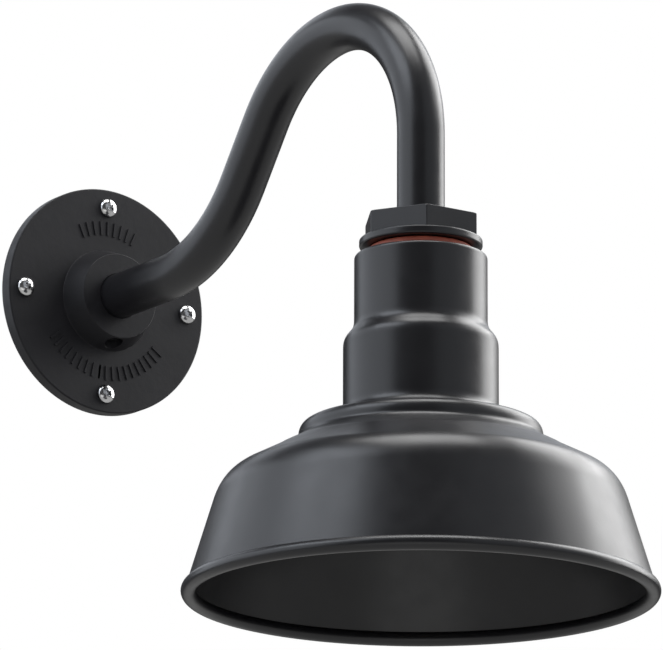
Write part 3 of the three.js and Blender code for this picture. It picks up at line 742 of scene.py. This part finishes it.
def hex_fitting():
    top = FITTING_TOP
    flange_top = top - HEX_HEIGHT
    flange_low = flange_top - FLANGE_HEIGHT
    made = as_object("fine_hex_fitting", moved(rod(HEX_RADIUS, flange_top - CUT_PAST, top, 6), AXIS))
    crown_low = flange_top - 2 * CUT_PAST
    crown = [(0, crown_low), (HEX_RADIUS, crown_low), (HEX_RADIUS, top - HEX_CHAMFER / 2),
             (HEX_RADIUS - HEX_CHAMFER, top), (0, top)]
    combine(made, [moved(lathe(crown), AXIS)], "INTERSECT")
    settle(round_edges(made, HEX_EDGE, 4, 25))
    edge = FLANGE_ROUND
    flange = [(0, flange_low), *arc((FLANGE_RADIUS - edge, flange_low + edge), edge, -90, 0, 8),
              *arc((FLANGE_RADIUS - edge, flange_top - edge), edge, 0, 90, 8), (0, flange_top)]
    nipple = rod(NIPPLE_RADIUS, FITTING_LOW.z, flange_low + CUT_PAST, TURNED_SIDES)
    combine(made, [moved(lathe(flange, FINE_SIDES), AXIS), moved(nipple, AXIS)], "UNION")
    bores = [rod(PIPE_RADIUS + CLEARANCE, top - PIPE_SOCKET_DEPTH - CLEARANCE, top + CUT_PAST, PIPE_SIDES),
             rod(WIRE_BORE_RADIUS, FITTING_LOW.z - CUT_PAST, top - CUT_PAST, SCREW_SIDES)]
    cuts = [moved(bore, AXIS) for bore in bores]
    for node in ("bracket_screw_right", "bracket_screw_left"):
        hole = rod(BRACKET_SCREW[2] + CLEARANCE, FITTING_LOW.z - CUT_PAST, box(node)[1].z + CLEARANCE)
        cuts.append(moved(hole, across(node)))
    combine(made, cuts)
    round_edges(made, FITTING_EDGE, 3, 25)
    return stand_for(made, "hex_fitting")


def fitting_gasket():
    low, high = box("fitting_gasket")
    outer = (high.x - low.x) / 2
    edge = (high.z - low.z) / 4
    outline = [(NECK_HOLE_RADIUS, low.z), *arc((outer - edge, low.z + edge), edge, -90, 0, 6),
               *arc((outer - edge, high.z - edge), edge, 0, 90, 6), (NECK_HOLE_RADIUS, high.z),
               (NECK_HOLE_RADIUS, low.z)]
    return piece("fitting_gasket", moved(lathe(outline, FINE_SIDES), AXIS))


def shade_outline():
    """The outer line of the spun shade from the hole in its neck to the rolled rim."""
    lower = NECK_RADIUS + NECK_STEP
    line = [(NECK_HOLE_RADIUS, NECK_TOP)]
    curve_on(line, NECK_RADIUS - NECK_ROUND - NECK_HOLE_RADIUS, 0)
    curve_on(line, NECK_ROUND, NECK_ROUND, CORNER_HANDLES)
    curve_on(line, 0, NECK_UPPER_HEIGHT - NECK_ROUND)
    curve_on(line, NECK_STEP, NECK_STEP_HEIGHT, NECK_STEP_HANDLES)
    curve_on(line, lower - line[-1][0], NECK_LOWER_HEIGHT)
    curve_on(line, SHELF_WIDTH, SHELF_DROP, SHELF_HANDLES)
    curve_on(line, RING_ROUND, RING_ROUND_DROP, CORNER_HANDLES)
    curve_on(line, COVE_WIDTH - CREASE_WIDTH, COVE_DROP, COVE_HANDLES)
    curve_on(line, CREASE_WIDTH, CREASE_DEPTH)
    bead_reach = BEAD_RADIUS * (1 - math.cos(math.radians(BEAD_SEAT_DEG)))
    width_left = RIM_RADIUS - bead_reach - FLARE_WIDTH - line[-1][0]
    curve_on(line, CONE_SHARE * width_left, CONE_DROP)
    curve_on(line, (1 - CONE_SHARE) * width_left, SHOULDER_DROP, SHOULDER_HANDLES, 2 * CURVE_STEPS)
    curve_on(line, FLARE_WIDTH, FLARE_HEIGHT)
    return line


def shade():
    outer = shade_outline()
    seat = math.radians(BEAD_SEAT_DEG)
    centre = (outer[-1][0] - BEAD_RADIUS * math.cos(seat), outer[-1][1] - BEAD_RADIUS * math.sin(seat))
    bead = arc(centre, BEAD_RADIUS, BEAD_SEAT_DEG, BEAD_SEAT_DEG - BEAD_TURN_DEG, 3 * CURVE_STEPS)
    inner = [p for p in offset(outer, -SHADE_WALL) if p[0] > NECK_HOLE_RADIUS][::-1]
    outline = [*outer, *bead[1:], *inner[1:], (NECK_HOLE_RADIUS, NECK_TOP - SHADE_WALL), outer[0]]
    made = as_object("fine_shade", moved(lathe(outline, FINE_SIDES), AXIS))
    return stand_for(made, "shade_neck", "shade_collar", "shade_bell")


def turned_ring(node, inner):
    """A flat ring that fills a CAD ring's box."""
    low, high = box(node)
    return as_object("fine_" + node, moved(ring(inner, (high.x - low.x) / 2, low.z, high.z), AXIS))


def neck_lock_nut():
    low, high = box("neck_lock_nut")
    radius = (high.y - low.y) / 2
    turn = Matrix.Rotation(math.pi / 2, 3, "Z")
    made = as_object("fine_neck_lock_nut", moved(rod(radius, low.z, high.z, 6), AXIS, turn))
    side = NUT_CHAMFER / 2
    crown = [(0, low.z), (radius - NUT_CHAMFER, low.z), (radius, low.z + side), (radius, high.z - side),
             (radius - NUT_CHAMFER, high.z), (0, high.z)]
    combine(made, [moved(lathe(crown), AXIS)], "INTERSECT")
    combine(made, [moved(rod(NECK_HOLE_RADIUS, low.z - CUT_PAST, high.z + CUT_PAST, PIPE_SIDES), AXIS)])
    return stand_for(round_edges(made, NUT_EDGE, 2), "neck_lock_nut")


def socket_bracket():
    low, high = box("socket_bracket")
    made = turned_ring("socket_bracket", BRACKET_BORE_RADIUS)
    hole = rod(BRACKET_SCREW[2] + CLEARANCE, low.z - CUT_PAST, high.z + CUT_PAST)
    combine(made, [moved(hole, across(node)) for node in ("bracket_screw_right", "bracket_screw_left",
                                                          "socket_screw_front", "socket_screw_back")])
    return stand_for(round_edges(made, SHEET_EDGE, 2), "socket_bracket")


def socket_body():
    low, high = box("socket_body")
    radius = (high.x - low.x) / 2
    top = high.z - BOSS_HEIGHT
    edge = SOCKET_CHAMFER
    outline = [(0, low.z), *arc((radius - edge, low.z + edge), edge, -90, 0, 8),
               *arc((radius - edge, top - edge), edge, 0, 90, 8), (0, top)]
    made = as_object("fine_socket_body", moved(lathe(outline), AXIS))
    screws = [across(node) for node in ("socket_screw_front", "socket_screw_back")]
    boss = rod(BOSS_RADIUS, top - CUT_PAST, high.z)
    combine(made, [moved(boss, place) for place in screws], "UNION")
    head_radius, head_height, shank = SOCKET_SCREW
    hole = rod(shank + CLEARANCE, low.z - CUT_PAST, high.z + CUT_PAST)
    head_hole = rod(head_radius + CLEARANCE, low.z - CUT_PAST, low.z + head_height + CLEARANCE)
    mouth_floor = box("contact_pad")[1].z + CLEARANCE
    cuts = [moved(rod(MOUTH_RADIUS, low.z - CUT_PAST, mouth_floor, TURNED_SIDES), AXIS)]
    cuts += [moved(hole, place) for place in screws]
    cuts += [moved(head_hole, place) for place in screws]
    for node in ("line_terminal_screw", "neutral_terminal_screw"):
        thread_hole = rod(TERMINAL_SCREW[2] + CLEARANCE, box(node)[0].z - CLEARANCE, top + CUT_PAST)
        cuts.append(moved(thread_hole, across(node)))
    combine(made, cuts)
    return stand_for(round_edges(made, PORCELAIN_EDGE, 3, 40), "socket_body")


def screw_shell():
    low, high = box("screw_shell")
    outer = (high.x - low.x) / 2
    length = high.z - low.z
    count = SHELL_THREADS * SHELL_STEPS
    wave = [(outer - SHELL_THREAD_DEPTH * (1 - math.cos(2 * math.pi * SHELL_THREADS * i / count)),
             low.z + length * i / count) for i in range(count + 1)]
    inner = [(radius - SHELL_THICKNESS, height) for radius, height in wave][::-1]
    return piece("screw_shell", moved(lathe([*wave, *inner, wave[0]]), AXIS))


def contact_pad():
    low, high = box("contact_pad")
    made = as_object("fine_contact_pad", moved(block(*(high - low)), middle("contact_pad")))
    hole = rod(RIVET_RADIUS + CLEARANCE, low.z - CUT_PAST, high.z + CUT_PAST)
    combine(made, [moved(hole, across("contact_rivet"))])
    return stand_for(round_edges(made, SCREW_EDGE, 2), "contact_pad")


def contact_rivet():
    low, high = box("contact_rivet")
    head_radius = (high.x - low.x) / 2
    dome = [(head_radius * math.sin(a), low.z + RIVET_HEAD * (1 - math.cos(a)))
            for a in [math.pi / 2 * i / 8 for i in range(9)]]
    outline = [*dome, (RIVET_RADIUS, low.z + RIVET_HEAD), (RIVET_RADIUS, high.z), (0, high.z)]
    return piece("contact_rivet", moved(lathe(outline, SCREW_SIDES), across("contact_rivet")))


def centre_contact():
    """A leaf that slopes down from its root and levels off under the lamp's cap."""
    low, high = box("centre_contact")
    root, tip = high.y, low.y
    slope = LEAF_SLOPE * (root - tip)
    drop = high.z - low.z - LEAF_THICKNESS
    shares = [i / LEAF_STEPS for i in range(LEAF_STEPS + 1)]
    top = [(root - slope * t, high.z - drop * (3 * t**2 - 2 * t**3)) for t in shares]
    top.append((tip, high.z - drop))
    side = top + [(along, up - LEAF_THICKNESS) for along, up in reversed(top)]
    count = len(side)
    verts = [Vector((x, along, up)) for x in (low.x, high.x) for along, up in side]
    faces = [[i, (i + 1) % count, count + (i + 1) % count, count + i] for i in range(count)]
    faces += [list(range(count))[::-1], list(range(count, 2 * count))]
    made = as_object("fine_centre_contact", (verts, faces))
    return stand_for(round_edges(made, LEAF_EDGE, 2, 50), "centre_contact")


def socket_lead(node):
    """From a terminal screw in to the axis and up through the fitting."""
    low, high = box(node)
    side = -1 if low.x < 0 and abs(low.x) > abs(high.x) else 1
    turn = 2 * LEAD_RADIUS
    level = low.z + LEAD_RADIUS
    start = max(abs(low.x), abs(high.x))
    bracket = box("socket_bracket")[1].z
    places = [(start, level), (start - LEAD_RADIUS, level + CLEARANCE), (LEAD_SPACING + turn, level + turn),
              (LEAD_SPACING, level + 2 * turn), (LEAD_SPACING, bracket), (LEAD_SPACING, high.z)]
    points = [AXIS + Vector((side * out, 0, up)) for out, up in places]
    return piece(node, tube(through(points), LEAD_RADIUS, WIRE_SIDES))


# ---------------------------------------------------------------- assembly

wall_plate()
plate_gasket()
for place_name, place_angle in QUARTERS.items():
    plate_screw(place_name, place_angle)
hub_set_screw()
slotted_screw("ground_screw", GROUND_SCREW, OVER @ OUT)
ground_lead()
gooseneck_arm()
hex_fitting()
fitting_gasket()
shade()
stand_for(round_edges(turned_ring("neck_washer", NECK_HOLE_RADIUS), SHEET_EDGE, 2), "neck_washer")
neck_lock_nut()
socket_bracket()
socket_body()
screw_shell()
contact_pad()
contact_rivet()
centre_contact()
for node_name in ("bracket_screw_right", "bracket_screw_left"):
    slotted_screw(node_name, BRACKET_SCREW, OVER, 20.0)
for node_name in ("socket_screw_front", "socket_screw_back"):
    slotted_screw(node_name, SOCKET_SCREW, OVER, 70.0)
for node_name in ("line_terminal_screw", "neutral_terminal_screw"):
    slotted_screw(node_name, TERMINAL_SCREW, Matrix.Identity(3), 35.0)
for node_name in ("line_lead_in_arm", "neutral_lead_in_arm"):
    arm_lead(node_name)
for node_name in ("line_lead_at_socket", "neutral_lead_at_socket"):
    socket_lead(node_name)

# ---------------------------------------------------------------- camera, floor and light

LENS = 355.58
SENSOR = 36.0
CAMERA_PLACE = Vector((-1587.14, -2480.03, -760.86))
CAMERA_YAW = math.radians(34.714)
CAMERA_PITCH = math.radians(14.318)
CAMERA_ROLL = math.radians(0.199)
CAMERA_NEAR = 0.05              # in metres, as is the far end
CAMERA_FAR = 100
FLOOR_DROP = 8000.0
FLOOR_HALF = 40000.0
LIGHT_AIM = Vector((0, -220, -80))
COOL = (0.87, 0.92, 1.0)
WHITE = (1, 1, 1)
MATT_WORLD = 0.7                # the world's strength on matt surfaces, in reflections and to the camera
GLOSSY_WORLD = 0.07
SEEN_WORLD = 1.0

# Panels: name, azimuth and elevation in degrees, distance, width, height, radiance, colour
PANELS = [
    ("left_panel", -88, 18, 1500, 2900, 1300, 1.5, COOL),
    ("upper_left_panel", -60, 48, 1500, 1000, 600, 4.2, COOL),
    ("back_left_panel", -146, 33, 1500, 760, 620, 0.8, COOL),
    ("back_panel", -178, 34, 1500, 1700, 700, 0.8, COOL),
    ("right_strip", 118, 14, 1500, 900, 900, 5.4, WHITE),
    ("upper_right_panel", 124, 44, 1500, 940, 860, 6.2, WHITE),
    ("right_side_panel", 92, 36, 1500, 620, 480, 2.3, WHITE),
    ("right_back_panel", 141, 20, 1500, 340, 620, 1.4, WHITE),
    ("front_right_panel", 54, 22, 1800, 2200, 1700, 0.42, COOL),
    ("low_front_panel", 0, -22, 1800, 1400, 600, 0.45, WHITE),
    ("top_panel", 20, 84, 1300, 820, 680, 6.0, WHITE),
]


def make_camera():
    ahead = Vector((math.sin(CAMERA_YAW) * math.cos(CAMERA_PITCH),
                    math.cos(CAMERA_YAW) * math.cos(CAMERA_PITCH), math.sin(CAMERA_PITCH)))
    right = Vector((math.cos(CAMERA_YAW), -math.sin(CAMERA_YAW), 0))
    up = right.cross(ahead)
    turned_right = math.cos(CAMERA_ROLL) * right + math.sin(CAMERA_ROLL) * up
    turned_up = -math.sin(CAMERA_ROLL) * right + math.cos(CAMERA_ROLL) * up
    data = bpy.data.cameras.new("camera")
    data.lens = LENS
    data.sensor_width = SENSOR
    data.clip_start = CAMERA_NEAR
    data.clip_end = CAMERA_FAR
    camera = bpy.data.objects.new("camera", data)
    axes = Matrix((turned_right, turned_up, -ahead)).transposed()
    camera.matrix_world = Matrix.Translation(CAMERA_PLACE * MM) @ axes.to_4x4()
    bpy.context.scene.collection.objects.link(camera)
    bpy.context.scene.camera = camera


def make_floor():
    corners = ((-1, -1), (1, -1), (1, 1), (-1, 1))
    verts = [Vector((x * FLOOR_HALF, y * FLOOR_HALF, -FLOOR_DROP)) for x, y in corners]
    floor = as_object("floor", (verts, [[0, 1, 2, 3]]))
    pale = Finish("pale_floor", roughness=0.7)
    pale.colours(900, (0.80, 0.80, 0.79), (0.83, 0.83, 0.82))
    floor.data.materials.append(pale.material)


def soft_light(name, azimuth_deg, elevation_deg, distance, width, height, radiance, colour):
    """A panel of light that faces the lantern. Azimuth turns from the camera's side to the right."""
    azimuth = math.radians(azimuth_deg) - CAMERA_YAW
    elevation = math.radians(elevation_deg)
    towards = Vector((math.sin(azimuth) * math.cos(elevation), -math.cos(azimuth) * math.cos(elevation),
                      math.sin(elevation)))
    data = bpy.data.lights.new(name, "AREA")
    data.shape = "RECTANGLE"
    data.size = width * MM
    data.size_y = height * MM
    data.energy = radiance * math.pi * data.size * data.size_y
    data.color = colour
    lamp = bpy.data.objects.new(name, data)
    lamp.location = (LIGHT_AIM + towards * distance) * MM
    lamp.rotation_mode = "QUATERNION"
    lamp.rotation_quaternion = towards.to_track_quat("Z", "Y")
    lamp.visible_camera = False
    bpy.context.scene.collection.objects.link(lamp)


def make_world():
    """White to the eye, even light on matt surfaces and a dim room in reflections."""
    world = bpy.data.worlds.new("studio")
    world.use_nodes = True
    tree = world.node_tree
    background = tree.nodes["Background"]
    path = tree.nodes.new("ShaderNodeLightPath")
    strength = tree.nodes.new("ShaderNodeMapRange")
    strength.inputs["To Min"].default_value = MATT_WORLD
    strength.inputs["To Max"].default_value = GLOSSY_WORLD
    tree.links.new(path.outputs["Is Glossy Ray"], strength.inputs["Value"])
    seen = tree.nodes.new("ShaderNodeMix")
    tree.links.new(path.outputs["Is Camera Ray"], seen.inputs[0])
    tree.links.new(strength.outputs["Result"], seen.inputs[2])
    seen.inputs[3].default_value = SEEN_WORLD
    background.inputs["Color"].default_value = (1, 1, 1, 1)
    tree.links.new(seen.outputs[0], background.inputs["Strength"])
    bpy.context.scene.world = world


make_camera()
make_floor()
make_world()
for panel in PANELS:
    soft_light(*panel)
bpy.context.scene.view_settings.view_transform = "Standard"

# ---------------------------------------------------------------- final update

bpy.context.view_layer.update()
